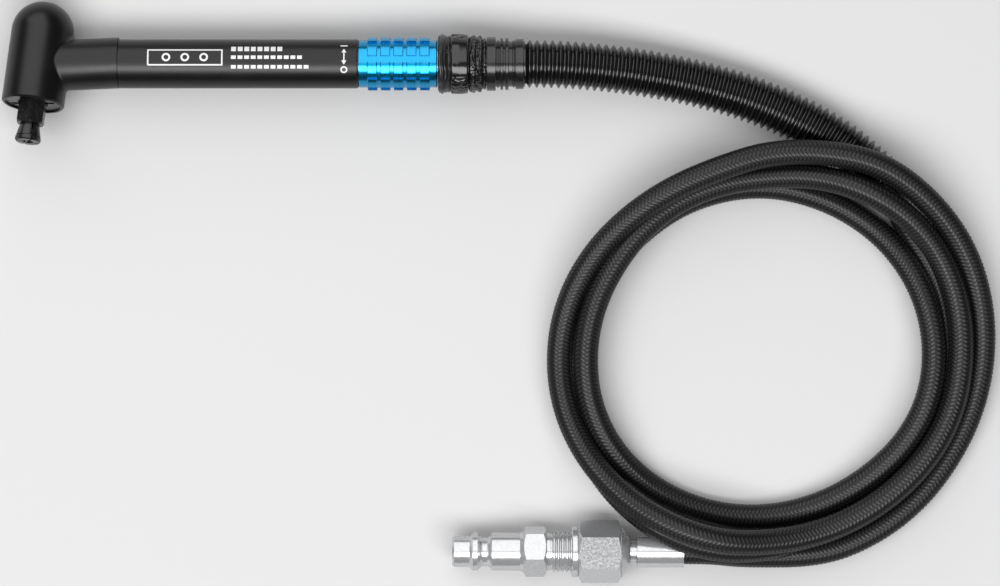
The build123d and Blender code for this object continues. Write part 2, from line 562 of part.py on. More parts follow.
turned("exhaust_cuff", cuff_outline + [
    (TOOL_END, CUFF_ROOT_R), (TOOL_END, EXHAUST_BORE_R), (SOCKET_END + 0.05, EXHAUST_BORE_R),
    (SOCKET_END + 0.05, SOCKET_TAIL_R + FIT)])

BARB_END, BARB_BORE_R = 145.0, 1.5
BARB_ROOT_R, BARB_TOOTH_R = 2.5, 2.8
BARB_SHOULDER_END = 134.0
barb_outline = [
    (BARB_SEAT_AT + 0.1, BARB_BORE_R), (BARB_SEAT_AT + 0.1, BARB_SEAT_R - FIT),
    (THREAD_END + 0.05, BARB_SEAT_R - FIT), (THREAD_END + 0.05, 4.0), (BARB_SHOULDER_END, 4.0),
    (BARB_SHOULDER_END, BARB_ROOT_R)]
for tooth_at in (136, 139, 142):
    barb_outline += [(tooth_at, BARB_TOOTH_R), (tooth_at, BARB_ROOT_R)]
turned("hose_barb", barb_outline + [(BARB_END - 0.5, 2.7), (BARB_END, 2.4), (BARB_END, BARB_BORE_R)])
turned("inner_ferrule", band(134.6, 144.0, HOSE_R + FIT, 4.9))

# ================= hoses =================


def bend_radii(route):
    """The largest tangent arc that each corner's two runs allow."""
    radii = []
    for before, here, after in zip(route, route[1:], route[2:]):
        run_in, run_out = here - before, after - here
        half_turn = radians(run_in.get_angle(run_out)) / 2
        radii.append(0.45 * min(run_in.length, run_out.length) / tan(half_turn))
    return radii


def hose_tube(name, points, outer_r, inner_r):
    """A hose along straight runs joined by tangent arcs."""
    route = [Vector(*point) for point in points]
    radii = bend_radii(route)
    first = Plane(origin=route[0], z_dir=route[1] - route[0])
    with BuildPart() as tube:
        with BuildLine():
            path = FilletPolyline(*route, radius=radii)
        with BuildSketch(first):
            Circle(outer_r)
            Circle(inner_r, mode=Mode.SUBTRACT)
        sweep(path=path)
    pieces[name] = tube
    expected = pi * (outer_r ** 2 - inner_r ** 2) * path.length
    print(name, "length", round(path.length, 1), "volume", round(tube.part.volume / expected, 4),
          "radii", [round(r) for r in radii])


barrel_y = CROSSING.Y
tool_end_x = CROSSING.X + TOOL_END
lead_start_x = CROSSING.X + 134.05
# From the cuff the exhaust hose sinks to the table and bends towards -Y.
EXHAUST_ROUTE = [
    (tool_end_x, barrel_y, BARREL_Z),
    (90.3, barrel_y, BARREL_Z),
    (103.9, 1.8, 11.0),
    (119.9, -0.1, 9.2),
    (138.6, -3.8, 7.9),
    (157.4, -9.7, 7.5),
    (174.9, -18.3, 7.5),
    (185.8, -26.1, 7.5),
    (194.9, -34.9, 7.5),
]
hose_tube("exhaust_hose", EXHAUST_ROUTE, EXHAUST_R, EXHAUST_BORE_R)

# The air hose runs inside it, from the barb in the tool, and comes out of its open end.
LEAD_END = (202.7, -44.0, 5.6)
LEAD_ROUTE = [(lead_start_x, barrel_y, BARREL_Z)] + EXHAUST_ROUTE[1:] + [LEAD_END]
hose_tube("air_hose_lead", LEAD_ROUTE, HOSE_R, HOSE_BORE_R)

hose_end_start = FERRULE_START + 0.3
HOSE_END_ROUTE = [
    (149.1, COUPLING_Y - 0.4, 7.0),
    (137.2, COUPLING_Y, COUPLING_Z),
    (hose_end_start, COUPLING_Y, COUPLING_Z),
]
hose_tube("air_hose_end", HOSE_END_ROUTE, HOSE_R, HOSE_BORE_R)

# The coil, as the solid that its turns fill, arched over the exhaust hose and the ferrule.


def coil_ring(height, start_angle, end_angle):
    """The coil's ring up to a height, or a wedge of it between two angles."""
    with BuildSketch() as ring:
        with Locations((COIL_X, COIL_Y)):
            Ellipse(COIL_OUTER_X, COIL_OUTER_Y)
        with Locations((COIL_X + COIL_HOLE_DX, COIL_Y + COIL_HOLE_DY)):
            Ellipse(COIL_HOLE_X, COIL_HOLE_Y, mode=Mode.SUBTRACT)
        if end_angle - start_angle < 360:
            reach = 2 * COIL_OUTER_X
            corners = [(0, 0)]
            for step in range(5):
                a = radians(start_angle + (end_angle - start_angle) * step / 4)
                corners.append((reach * cos(a), reach * sin(a)))
            with Locations((COIL_X, COIL_Y)):
                Polygon(*corners, align=None, mode=Mode.INTERSECT)
    extrude(ring.sketch, amount=height)


def tunnel(points, width, top):
    """Clear a way for a hose under the coil, up to a height, in the open part."""
    corners = [Vector(x, y) for x, y, z in points]
    with BuildSketch(Plane.XY.offset(-1)) as way:
        for here, there in zip(corners, corners[1:]):
            run = there - here
            heading = degrees(atan2(run.Y, run.X))
            with Locations(Location((here + there) * 0.5, (0, 0, heading))):
                Rectangle(run.length, width)
        with Locations(*corners[:-1]):
            Circle(width / 2)
    extrude(way.sketch, amount=top + 1, mode=Mode.SUBTRACT)


with BuildPart() as hose_coil:
    coil_ring(COIL_TOP, 0, 360)
    coil_ring(23.5, 46, 130)
    coil_ring(19.8, 34, 160)
    coil_ring(28.0, 236, 256)
    coil_ring(22.0, 222, 270)
    tunnel(EXHAUST_ROUTE[-5:], 2 * EXHAUST_R + 0.8, 15.3)
    tunnel([EXHAUST_ROUTE[-1], LEAD_END], 2 * HOSE_R + 0.8, 12.0)
    tunnel([(FERRULE_START - 2, COUPLING_Y, 0), (FERRULE_END, COUPLING_Y, 0)], 2 * FERRULE_R + 1, 13.9)
    tunnel([(FERRULE_END, COUPLING_Y, 0), HOSE_END_ROUTE[0]], 2 * HOSE_R + 1, 13.9)
pieces["hose_coil"] = hose_coil

# ================= coupling =================
with BuildPart() as ferrule:
    spin(band(FERRULE_START, FERRULE_END, HOSE_R + FIT, FERRULE_R), COUPLING_SECTION, COUPLING_AXIS)
pieces["ferrule"] = ferrule

TAIL_START, TAIL_SEAT = PLUG_END + 1.65, PLUG_END + 4.6
turned("hose_tail", [
    (TAIL_START, 2.0), (TAIL_START, 6.2), (TAIL_SEAT, 6.2), (TAIL_SEAT, 3.35),
    (FERRULE_START - 0.1, 3.35), (FERRULE_START - 0.1, 2.8), (FERRULE_END - 1.7, 2.8),
    (FERRULE_END - 1.2, 2.5), (FERRULE_END - 1.2, 2.0)], COUPLING_SECTION, COUPLING_AXIS)
turned("nut_gasket", band(PLUG_END + 0.05, TAIL_START - 0.05, 3.6, 6.2), COUPLING_SECTION, COUPLING_AXIS)


def coupling_plane(station):
    """A plane square to the coupling, its x pointing up."""
    return Plane(origin=COUPLING_ORIGIN + BARREL_DIR * station, x_dir=(0, 0, 1), z_dir=BARREL_DIR)


def hex_bar(start, end, flats, first_angle):
    """A hexagonal length with its corners turned off at both ends, in the open part."""
    with BuildSketch(coupling_plane(start)) as hexagon:
        RegularPolygon(flats / 2, 6, major_radius=False, rotation=first_angle)
    extrude(hexagon.sketch, amount=end - start)
    corner = flats / sqrt(3)
    drop = 0.4 * (corner - flats / 2)
    for edge, inward in ((start, 1), (end, -1)):
        outline = [(edge - 0.05 * inward, flats / 2 - drop), (edge - 0.05 * inward, corner + 1),
                   (edge + inward * (corner + 1 - flats / 2 + drop) * 0.6, corner + 1)]
        spin(outline, COUPLING_SECTION, COUPLING_AXIS, mode=Mode.SUBTRACT)


STAKE_R = 0.6       # punch marks on the corners
with BuildPart() as swivel_nut:
    hex_bar(NUT_HEX_START, NUT_HEX_END, NUT_FLATS, 30)
    spin([(NUT_START, 0), (NUT_START, 7.8), (NUT_START + 0.3, 8.0), (NUT_START + 1.7, 8.0),
          (NUT_HEX_START, 7.7), (NUT_HEX_END - 0.5, 7.7), (NUT_HEX_END, 8.4), (NUT_END, 4.4), (NUT_END, 0)],
         COUPLING_SECTION, COUPLING_AXIS)
    spin(band(NUT_START - 1, TAIL_SEAT + 0.1, 0, THREAD_R + 0.06), COUPLING_SECTION, COUPLING_AXIS,
         mode=Mode.SUBTRACT)
    spin(band(TAIL_SEAT, NUT_END + 1, 0, 3.45), COUPLING_SECTION, COUPLING_AXIS, mode=Mode.SUBTRACT)
    with Locations(coupling_plane(NUT_HEX_START + 2.9)):
        with PolarLocations(NUT_FLATS / sqrt(3), 6):
            Sphere(STAKE_R, mode=Mode.SUBTRACT)
pieces["swivel_nut"] = swivel_nut

thread_start = PLUG_HEX_END + 1.7
thread_outline = []
for ridge in range(THREAD_RIDGES):
    ridge_at = thread_start + THREAD_PITCH * ridge
    for share, height in ((0.05, THREAD_ROOT_R), (0.4, THREAD_R), (0.6, THREAD_R), (0.95, THREAD_ROOT_R)):
        thread_outline.append((ridge_at + share * THREAD_PITCH, height))

PLUG_TIP_R, RIDGE_R, GROOVE_R = 4.85, 6.0, 4.5
PLUG_HEX_CLOCK = 14.4
with BuildPart() as quick_plug:
    hex_bar(PLUG_HEX_START, PLUG_HEX_END, PLUG_FLATS, PLUG_HEX_CLOCK)
    spin([(PLUG_TIP, 0), (PLUG_TIP, PLUG_TIP_R - 0.55), (PLUG_TIP + 0.6, PLUG_TIP_R), (64.1, PLUG_TIP_R),
          (65.1, RIDGE_R), (66.6, RIDGE_R), (67.3, 5.2), (68.1, GROOVE_R + 0.1), (69.6, GROOVE_R),
          (70.6, 5.2), (71.1, RIDGE_R), (79.85, RIDGE_R),
          (PLUG_HEX_START + 0.1, 6.6), (PLUG_HEX_END - 0.1, 6.6), (PLUG_HEX_END + 0.1, 5.9),
          (PLUG_HEX_END + 1.2, 5.9), (PLUG_HEX_END + 1.4, THREAD_ROOT_R), *thread_outline,
          (PLUG_END, THREAD_ROOT_R), (PLUG_END, 0)], COUPLING_SECTION, COUPLING_AXIS)
    spin(band(PLUG_TIP - 1, PLUG_END + 1, 0, PLUG_BORE_R), COUPLING_SECTION, COUPLING_AXIS,
         mode=Mode.SUBTRACT)
pieces["quick_plug"] = quick_plug

# ================= write =================
for name, piece in pieces.items():
    piece.part.label = name
    export_step(piece.part, f"parts/{name}.step")
print(len(pieces), "pieces")
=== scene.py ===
"""Looks of the angle-head air micro grinder, its exhaust hose and its coiled air hose."""

import json
import math

import bpy
import numpy as np
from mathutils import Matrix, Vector, noise


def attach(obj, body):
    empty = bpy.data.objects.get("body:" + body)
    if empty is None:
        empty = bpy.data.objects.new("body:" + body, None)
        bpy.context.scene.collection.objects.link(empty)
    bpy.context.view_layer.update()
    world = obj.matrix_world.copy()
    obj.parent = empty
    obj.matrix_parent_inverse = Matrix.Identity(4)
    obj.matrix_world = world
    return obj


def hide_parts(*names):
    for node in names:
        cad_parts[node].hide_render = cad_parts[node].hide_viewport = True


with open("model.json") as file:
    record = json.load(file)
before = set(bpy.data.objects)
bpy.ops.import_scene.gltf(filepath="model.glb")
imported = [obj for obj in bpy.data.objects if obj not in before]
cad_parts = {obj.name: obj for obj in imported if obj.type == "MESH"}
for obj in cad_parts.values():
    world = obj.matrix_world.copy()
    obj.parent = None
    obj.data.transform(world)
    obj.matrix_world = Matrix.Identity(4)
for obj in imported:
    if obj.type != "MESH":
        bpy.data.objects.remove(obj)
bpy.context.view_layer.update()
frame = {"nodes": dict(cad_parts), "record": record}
NODES = frame["nodes"]
MM = 0.001

# ---- the CAD's driving dimensions, in millimetres ----
CROSSING = Vector((-70.3, 2.7, 12.048))    # where the head's and the barrel's axes cross
BARREL_R = 7.625
HOSE_R = 4.0


# ================= camera, light, floor =================

CAMERA_X, CAMERA_Y, CAMERA_HEIGHT = 73.6, -68.7, 1310.0
CAMERA_LENS = 149.9


def make_camera():
    """Straight above the middle of the picture, so image up is +Y."""
    data = bpy.data.cameras.new("camera")
    data.lens = CAMERA_LENS
    data.sensor_width = 36.0
    data.clip_start, data.clip_end = 0.05, 20
    camera = bpy.data.objects.new("camera", data)
    camera.location = Vector((CAMERA_X, CAMERA_Y, CAMERA_HEIGHT)) * MM
    bpy.context.scene.collection.objects.link(camera)
    bpy.context.scene.camera = camera


def area_light(name, place, aim, size_x, size_y, power):
    """A soft box at a place in metres, facing a point, its long side along X."""
    data = bpy.data.lights.new(name, "AREA")
    data.shape = "RECTANGLE"
    data.size, data.size_y = size_x, size_y
    data.energy = power
    light = bpy.data.objects.new(name, data)
    light.location = place
    away = Vector(place) - Vector(aim)
    light.rotation_euler = away.to_track_quat("Z", "Y").to_euler()
    bpy.context.scene.collection.objects.link(light)


LIT_MIDDLE = (0.07, -0.05, 0.0)    # the lights face this point, in metres
SURROUND_STRENGTH = 0.08


def make_lights():
    """A broad soft box from overhead to behind, a bright strip in front, a dim surround."""
    area_light("soft_box", (-0.35, 0.95, 1.38), LIT_MIDDLE, 2.0, 2.7, 34)
    area_light("strip_box", (-0.05, -0.62, 1.30), LIT_MIDDLE, 2.2, 0.62, 34)
    world = bpy.data.worlds.new("surround")
    world.use_nodes = True
    background = world.node_tree.nodes["Background"]
    background.inputs["Color"].default_value = (1, 1, 1, 1)
    background.inputs["Strength"].default_value = SURROUND_STRENGTH
    bpy.context.scene.world = world
    bpy.context.scene.view_settings.view_transform = "Standard"
    bpy.context.scene.view_settings.look = "None"


FLOOR_HALF = 3.0    # metres


def make_floor():
    mesh = bpy.data.meshes.new("floor")
    corners = [(x * FLOOR_HALF, y * FLOOR_HALF, 0) for x, y in ((-1, -1), (1, -1), (1, 1), (-1, 1))]
    mesh.from_pydata(corners, [], [(0, 1, 2, 3)])
    floor = bpy.data.objects.new("floor", mesh)
    bpy.context.scene.collection.objects.link(floor)
    mesh.materials.append(floor_material())


# ================= materials =================


COLOUR_A, COLOUR_B, MIXED_COLOUR = 6, 7, 2    # the colour sockets of a Mix node


class Shader:
    """A material with one Principled shader and short calls for its nodes."""

    def __init__(self, name, color, roughness, metallic=0.0, ior=1.5):
        self.material = bpy.data.materials.new(name)
        self.material.use_nodes = True
        self.tree = self.material.node_tree
        self.principled = self.tree.nodes["Principled BSDF"]
        self.set("Base Color", (*color, 1))
        self.set("Roughness", roughness)
        self.set("Metallic", metallic)
        self.set("IOR", ior)

    def set(self, socket, value):
        self.principled.inputs[socket].default_value = value

    def node(self, kind, **settings):
        made = self.tree.nodes.new(kind)
        for key, value in settings.items():
            setattr(made, key, value)
        return made

    def link(self, source, target):
        self.tree.links.new(source, target)

    def place(self, scale=(1, 1, 1)):
        """Object coordinates, scaled."""
        coordinates = self.node("ShaderNodeTexCoord")
        mapping = self.node("ShaderNodeMapping")
        mapping.inputs["Scale"].default_value = scale
        self.link(coordinates.outputs["Object"], mapping.inputs["Vector"])
        return mapping.outputs["Vector"]

    def noise(self, vector, scale, detail=3.0, roughness=0.5):
        made = self.node("ShaderNodeTexNoise")
        made.inputs["Scale"].default_value = scale
        made.inputs["Detail"].default_value = detail
        made.inputs["Roughness"].default_value = roughness
        self.link(vector, made.inputs["Vector"])
        return made.outputs["Fac"]

    def ramp(self, value, low, high, to_low, to_high):
        made = self.node("ShaderNodeMapRange")
        for socket, number in (("From Min", low), ("From Max", high),
                               ("To Min", to_low), ("To Max", to_high)):
            made.inputs[socket].default_value = number
        self.link(value, made.inputs["Value"])
        return made.outputs["Result"]

    def math(self, operation, first, second=None):
        made = self.node("ShaderNodeMath", operation=operation)
        for socket, value in zip(made.inputs, (first, second)):
            if value is None:
                continue
            if isinstance(value, (int, float)):
                socket.default_value = value
            else:
                self.link(value, socket)
        return made.outputs[0]

    def mix(self, factor, first, second):
        made = self.node("ShaderNodeMix", data_type="RGBA")
        self.link(factor, made.inputs["Factor"])
        for socket, value in ((COLOUR_A, first), (COLOUR_B, second)):
            made.inputs[socket].default_value = (*value, 1)
        return made.outputs[MIXED_COLOUR]

    def bump(self, height, distance, strength=1.0, after=None):
        made = self.node("ShaderNodeBump")
        made.inputs["Distance"].default_value = distance
        made.inputs["Strength"].default_value = strength
        self.link(height, made.inputs["Height"])
        if after is not None:
            self.link(after, made.inputs["Normal"])
        return made.outputs["Normal"]

    def to(self, socket, value):
        self.link(value, self.principled.inputs[socket])


def floor_material():
    """Matt, pale and plain."""
    s = Shader("floor_white", (0.47, 0.47, 0.47), 0.9)
    s.set("Specular IOR Level", 0.1)
    return s.material


def black_anodised():
    """Bead-blasted aluminium, anodised black: fine grain, a few rubbed patches."""
    s = Shader("black_anodised", (0.002, 0.002, 0.0022), 0.33)
    s.set("Specular IOR Level", 0.36)
    place = s.place()
    cloud = s.noise(place, 90, 4)
    grain = s.noise(place, 2600, 2)
    s.to("Base Color", s.mix(cloud, (0.0008, 0.0008, 0.0009), (0.0022, 0.0022, 0.0024)))
    s.to("Roughness", s.ramp(cloud, 0.3, 0.7, 0.31, 0.37))
    s.to("Normal", s.bump(grain, 0.00003, 0.5))
    return s.material


def blue_anodised():
    """Bright blue anodised aluminium with fine turning lines under a clear skin."""
    s = Shader("blue_anodised", (0.0, 0.33, 0.85), 0.24, metallic=1.0)
    s.set("Coat Weight", 0.3)
    s.set("Coat Roughness", 0.1)
    s.set("Coat IOR", 1.6)
    place = s.place()
    lines = s.noise(s.place((3.0, 0.2, 0.2)), 2000, 2)
    s.to("Base Color", s.mix(s.noise(place, 120, 3), (0.004, 0.24, 0.47), (0.006, 0.29, 0.56)))
    s.to("Roughness", s.ramp(lines, 0.3, 0.7, 0.2, 0.3))
    s.to("Normal", s.bump(lines, 0.00001, 0.4))
    return s.material


def plated(name, color, low, high, grain, metallic=1.0, stain_scale=300):
    """Plated or machined metal with faint turning marks and small stains."""
    s = Shader(name, color, low, metallic=metallic)
    stains = s.noise(s.place(), stain_scale, 5, 0.6)
    marks = s.noise(s.place((6.0, 0.3, 0.3)), 900, 2)
    s.to("Roughness", s.ramp(stains, 0.35, 0.7, low, high))
    s.to("Base Color", s.mix(s.ramp(stains, 0.4, 0.75, 0, 1), color, [c * 0.86 for c in color]))
    s.to("Normal", s.bump(marks, grain, 0.5))
    return s.material


def blackened(name, low, high):
    """Steel with a black oxide skin, worn a little lighter in clouds."""
    s = Shader(name, (0.01, 0.01, 0.01), low)
    place = s.place()
    worn = s.noise(place, 700, 4, 0.6)
    patches = s.ramp(worn, 0.5, 0.8, 0, 1)
    s.to("Base Color", s.mix(patches, (0.005, 0.005, 0.005), (0.014, 0.014, 0.014)))
    s.to("Roughness", s.ramp(worn, 0.3, 0.7, low, high))
    s.to("Normal", s.bump(s.noise(place, 2500, 2), 0.00002, 0.4))
    return s.material


def black_plastic(name, color, low, high, grain, bump):
    """Glossy black plastic with an uneven skin."""
    s = Shader(name, color, low)
    place = s.place()
    s.to("Roughness", s.ramp(s.noise(place, 250, 4), 0.3, 0.7, low, high))
    s.to("Normal", s.bump(s.noise(place, grain, 3), bump, 0.6))
    return s.material


def braid_material():
    """Black yarn, glossy in the middle of each strand, with painted shade where it dips under another and
    painted light on each strand's top.
    """
    s = Shader("black_braid", (0.01, 0.01, 0.01), 0.3)
    s.set("Specular IOR Level", 0.3)
    uv = s.node("ShaderNodeTexCoord")
    place = s.node("ShaderNodeSeparateXYZ")
    s.link(uv.outputs["UV"], place.inputs[0])
    strand = s.math("FLOOR", place.outputs["X"])
    across = s.math("ABSOLUTE", s.math("SUBTRACT", s.math("FRACT", place.outputs["X"]), 0.5))
    shifted = s.math("ADD", s.math("SUBTRACT", place.outputs["Y"], strand), 2)
    along = s.math("ABSOLUTE", s.math("SUBTRACT", s.math("FLOORED_MODULO", shifted, 4), 2))
    crown_and_painted_shade = s.math("MULTIPLY", s.ramp(across, 0.12, 0.46, 1, 0), s.ramp(along, 0.35, 0.95, 1, 0))
    fuzz = s.noise(s.place(), 3000, 2)
    # Painted shade and light: the base colour goes near black in the gaps between strands and lighter on
    # each strand's top.
    s.to("Base Color", s.mix(crown_and_painted_shade, (0.0004, 0.0004, 0.0004), (0.016, 0.016, 0.016)))
    s.to("Roughness", s.ramp(crown_and_painted_shade, 0, 1, 0.5, 0.27))
    first = s.bump(crown_and_painted_shade, 0.00012, 0.6)
    s.to("Normal", s.bump(fuzz, 0.00003, 0.3, after=first))
    return s.material


def dark_rubber():
    """Smooth black rubber with a slight bloom."""
    s = Shader("black_rubber", (0.006, 0.006, 0.006), 0.35)
    place = s.place()
    s.to("Normal", s.bump(s.noise(place, 1500, 3), 0.00004, 0.5))
    s.to("Roughness", s.ramp(s.noise(place, 200, 3), 0.3, 0.7, 0.28, 0.42))
    return s.material


def plain(name, color, roughness, metallic, scale):
    """A matt material with cloudy colour and roughness."""
    s = Shader(name, color, roughness, metallic)
    place = s.place()
    s.to("Roughness", s.ramp(s.noise(place, scale, 3), 0.3, 0.7, roughness * 0.8, roughness * 1.2))
    s.to("Base Color", s.mix(s.noise(place, scale * 2, 3), color, [c * 0.82 for c in color]))
    return s.material


def make_materials():
    """Every material by name. All but laser_etched are named after a slot of the record."""
    return {
        "black_anodised": black_anodised(),
        "blue_anodised": blue_anodised(),
        "nickel_steel": plated("nickel_steel", (0.50, 0.505, 0.515), 0.12, 0.24, 0.00001, 0.65, 1300),
        "blackened_steel": blackened("blackened_steel", 0.2, 0.35),
        "black_metal": blackened("black_metal", 0.2, 0.3),
        "ground_steel": plated("ground_steel", (0.55, 0.55, 0.56), 0.25, 0.35, 0.00002),
        "bearing_steel": plated("bearing_steel", (0.62, 0.62, 0.63), 0.1, 0.2, 0.00001),
        "natural_aluminium": plated("natural_aluminium", (0.62, 0.62, 0.63), 0.3, 0.4, 0.00002),
        "brass": plated("brass", (0.72, 0.50, 0.22), 0.25, 0.35, 0.00002),
        "black_rubber": dark_rubber(),
        "seal_rubber": plain("seal_rubber", (0.02, 0.02, 0.02), 0.6, 0, 300),
        "vane_plastic": plain("vane_plastic", (0.28, 0.17, 0.08), 0.6, 0, 400),
        "silencer_felt": plain("silencer_felt", (0.75, 0.73, 0.68), 0.9, 0, 600),
        "black_tape": black_plastic("black_tape", (0.006, 0.006, 0.006), 0.12, 0.22, 700, 0.00004),
        "black_clamp": black_plastic("black_clamp", (0.006, 0.006, 0.007), 0.12, 0.2, 400, 0.00002),
        "black_cuff": black_plastic("black_cuff", (0.006, 0.006, 0.006), 0.16, 0.26, 600, 0.00002),
        "black_corrugated": black_plastic(
            "black_corrugated", (0.003, 0.003, 0.003), 0.16, 0.26, 500, 0.00002),
        "black_braid": braid_material(),
        "laser_etched": plain("laser_etched", (0.62, 0.62, 0.62), 0.5, 0, 900),
    }


# ================= hose routes =================


def spline_points(name, route):
    """Points along the smooth curve of a route given in millimetres."""
    curve = bpy.data.curves.new(name, "CURVE")
    curve.dimensions = "3D"
    curve.resolution_u = 12
    spline = curve.splines.new("NURBS")
    spline.points.add(len(route) - 1)
    for point, place in zip(spline.points, route):
        point.co = (*[value * MM for value in place], 1)
    spline.order_u = 3
    spline.use_endpoint_u = True
    line = bpy.data.objects.new(name, curve)
    mesh = bpy.data.meshes.new_from_object(line)
    points = np.array([vertex.co[:] for vertex in mesh.vertices])
    bpy.data.objects.remove(line)
    bpy.data.curves.remove(curve)
    bpy.data.meshes.remove(mesh)
    return points


HEADING_STEP = 0.4 * MM     # a line's heading is read this far to each side


class Path:
    """A smooth line with a steady frame along it, for tubes that follow a hose."""

    def __init__(self, points):
        self.points = points
        steps = np.linalg.norm(np.diff(points, axis=0), axis=1)
        self.reach = np.concatenate([[0], np.cumsum(steps)])
        self.length = self.reach[-1]

    def at(self, distances):
        """Points at distances along the line."""
        return np.stack([np.interp(distances, self.reach, self.points[:, k]) for k in range(3)], 1)

    def stations(self, distances):
        """Centres and two cross directions at distances along the line."""
        centres = self.at(distances)
        along = self.at(distances + HEADING_STEP) - self.at(distances - HEADING_STEP)
        along /= np.linalg.norm(along, axis=1, keepdims=True)
        sides = np.zeros_like(along)
        side = np.cross(along[0], (0, 0, 1))
        for row, direction in enumerate(along):
            side = side - direction * side.dot(direction)
            side /= np.linalg.norm(side)
            sides[row] = side
        return centres, sides, np.cross(along, sides)


def mesh_piece(name, vertices, faces, material, smooth=True, uvs=None):
    """A new object from vertices in metres, faces and, if given, each corner's UV."""
    mesh = bpy.data.meshes.new(name)
    mesh.from_pydata([tuple(v) for v in vertices], [], faces)
    if uvs is not None:
        layer = mesh.uv_layers.new(name="UVMap")
        layer.data.foreach_set("uv", np.asarray(uvs, dtype=np.float32).ravel())
    if smooth:
        mesh.polygons.foreach_set("use_smooth", [True] * len(mesh.polygons))
    mesh.materials.append(material)
    mesh.update()
    piece = bpy.data.objects.new(name, mesh)
    bpy.context.scene.collection.objects.link(piece)
    return piece


# From the cuff the exhaust hose sinks to the table and bends towards -Y.
EXHAUST_ROUTE = [
    (81.4, 2.7, 12.05),
    (90.3, 2.7, 12.05),
    (103.9, 1.8, 11.0),
    (119.9, -0.1, 9.2),
    (138.6, -3.8, 7.9),
    (157.4, -9.7, 7.5),
    (174.9, -18.3, 7.5),
    (185.8, -26.1, 7.5),
    (194.9, -34.9, 7.5),
]
# The air hose starts on the barb inside the tool and runs inside the exhaust hose.
LEAD_START = (63.75, 2.7, 12.05)

# The coil, lap by lap: how far out and how high the hose lies at every 15 degrees, going
# clockwise from COIL_START. Where a turn shows, its radii were read from the photograph;
# most of the first lap is hidden and its radii are a guess. A view from above shows no heights,
# so all of them are chosen, from which turn covers which. Some radii were moved to close gaps.
COIL_X, COIL_Y = 157.3, -88.1    # the radii are measured from here, not from the CAD's outline
COIL_START, COIL_STEP = 45, -15
POINTS_IN_LAP = 24
SPLINE_SWELL = 1.0086       # the spline runs this much inside its points
COIL_RADII = [
    [59.5, 58.2, 57.3, 56.6, 56.6, 57.3, 57.3, 57.3, 57.9, 60.2, 62.4, 63.8,
     64.2, 63.7, 62.6, 60.4, 58.5, 56.5, 55.0, 54.3, 53.5, 52.9, 52.1, 51.8],
    [51.9, 51.9, 51.9, 51.9, 51.7, 50.9, 49.8, 49.4, 49.7, 50.6, 51.9, 53.5,
     55.3, 56.8, 57.4, 57.0, 56.4, 55.6, 55.6, 55.6, 55.3, 55.5, 57.4, 59.1],
    [60.8, 61.6, 61.0, 60.0, 59.7, 58.8, 57.7, 57.2, 57.3, 57.7, 59.3, 60.8,
     62.8, 64.4, 65.4, 65.2, 64.3, 62.6, 60.7, 59.6, 59.7, 62.4, 64.9, 68.3],
    [68.9, 69.3, 68.5, 67.3, 66.2, 65.1, 64.9, 64.6, 64.3],
]
COIL_HEIGHTS = [
    [6.0, 4.5, 4.0, 4.0, 4.0, 4.0, 4.0, 4.0, 5.0, 9.0, 15.5, 15.2,
     9.0, 5.0, 4.0, 4.0, 4.0, 4.0, 4.0, 4.0, 4.0, 4.0, 4.0, 4.0],
    [5.0, 8.0, 10.0, 10.4, 10.4, 9.0, 7.0, 5.0, 4.5, 4.0, 4.0, 4.0,
     4.5, 10.0, 11.5, 12.0, 12.0, 12.0, 12.0, 11.7, 11.5, 11.5, 14.0, 18.0],
    [16.5, 13.0, 12.0, 11.3, 11.3, 11.8, 12.0, 12.0, 13.0, 16.7, 22.5, 22.7,
     17.0, 12.7, 10.0, 8.0, 10.0, 13.0, 16.0, 18.0, 19.0, 19.0, 19.0, 19.0],
    [16.0, 12.0, 8.5, 6.0, 4.5, 4.0, 4.0, 4.0, 4.0],
]
HOSE_TAIL = [(150.2, -150.9, 4.9), (140.6, -149.7, 7.4), (134.0, -149.5, 8.5), (127.0, -149.5, 8.5),
             (117.0, -149.5, 8.5)]


def coil_route():
    """The coil's points, lap by lap, in millimetres."""
    route = []
    for lap, (radii, heights) in enumerate(zip(COIL_RADII, COIL_HEIGHTS)):
        for step, (radius, height) in enumerate(zip(radii, heights)):
            angle = math.radians(COIL_START + COIL_STEP * (POINTS_IN_LAP * lap + step))
            reach = radius * SPLINE_SWELL
            route.append((COIL_X + reach * math.cos(angle), COIL_Y + reach * math.sin(angle), height))
    return route


BRAID_STRANDS = 12          # each way round
BRAID_PITCH = 1.28 * MM
BRAID_RELIEF = 0.34 * MM
CROSSING_HEIGHTS = (0.1, 0.45, 0.95)    # a strand under, passing and over its neighbours


def strand_height(a, b):
    """How high the braid stands at half-cell (a, b): 1 on top of a strand, 0 between."""
    def first_on_top(i, j):
        return (i - j) % 4 < 2

    i, j = a // 2, b // 2
    if a % 2 and b % 2:
        return 1.0
    if a % 2:
        return CROSSING_HEIGHTS[first_on_top(i, j - 1) + first_on_top(i, j)]
    if b % 2:
        return CROSSING_HEIGHTS[2 - first_on_top(i - 1, j) - first_on_top(i, j)]
    return 0.0


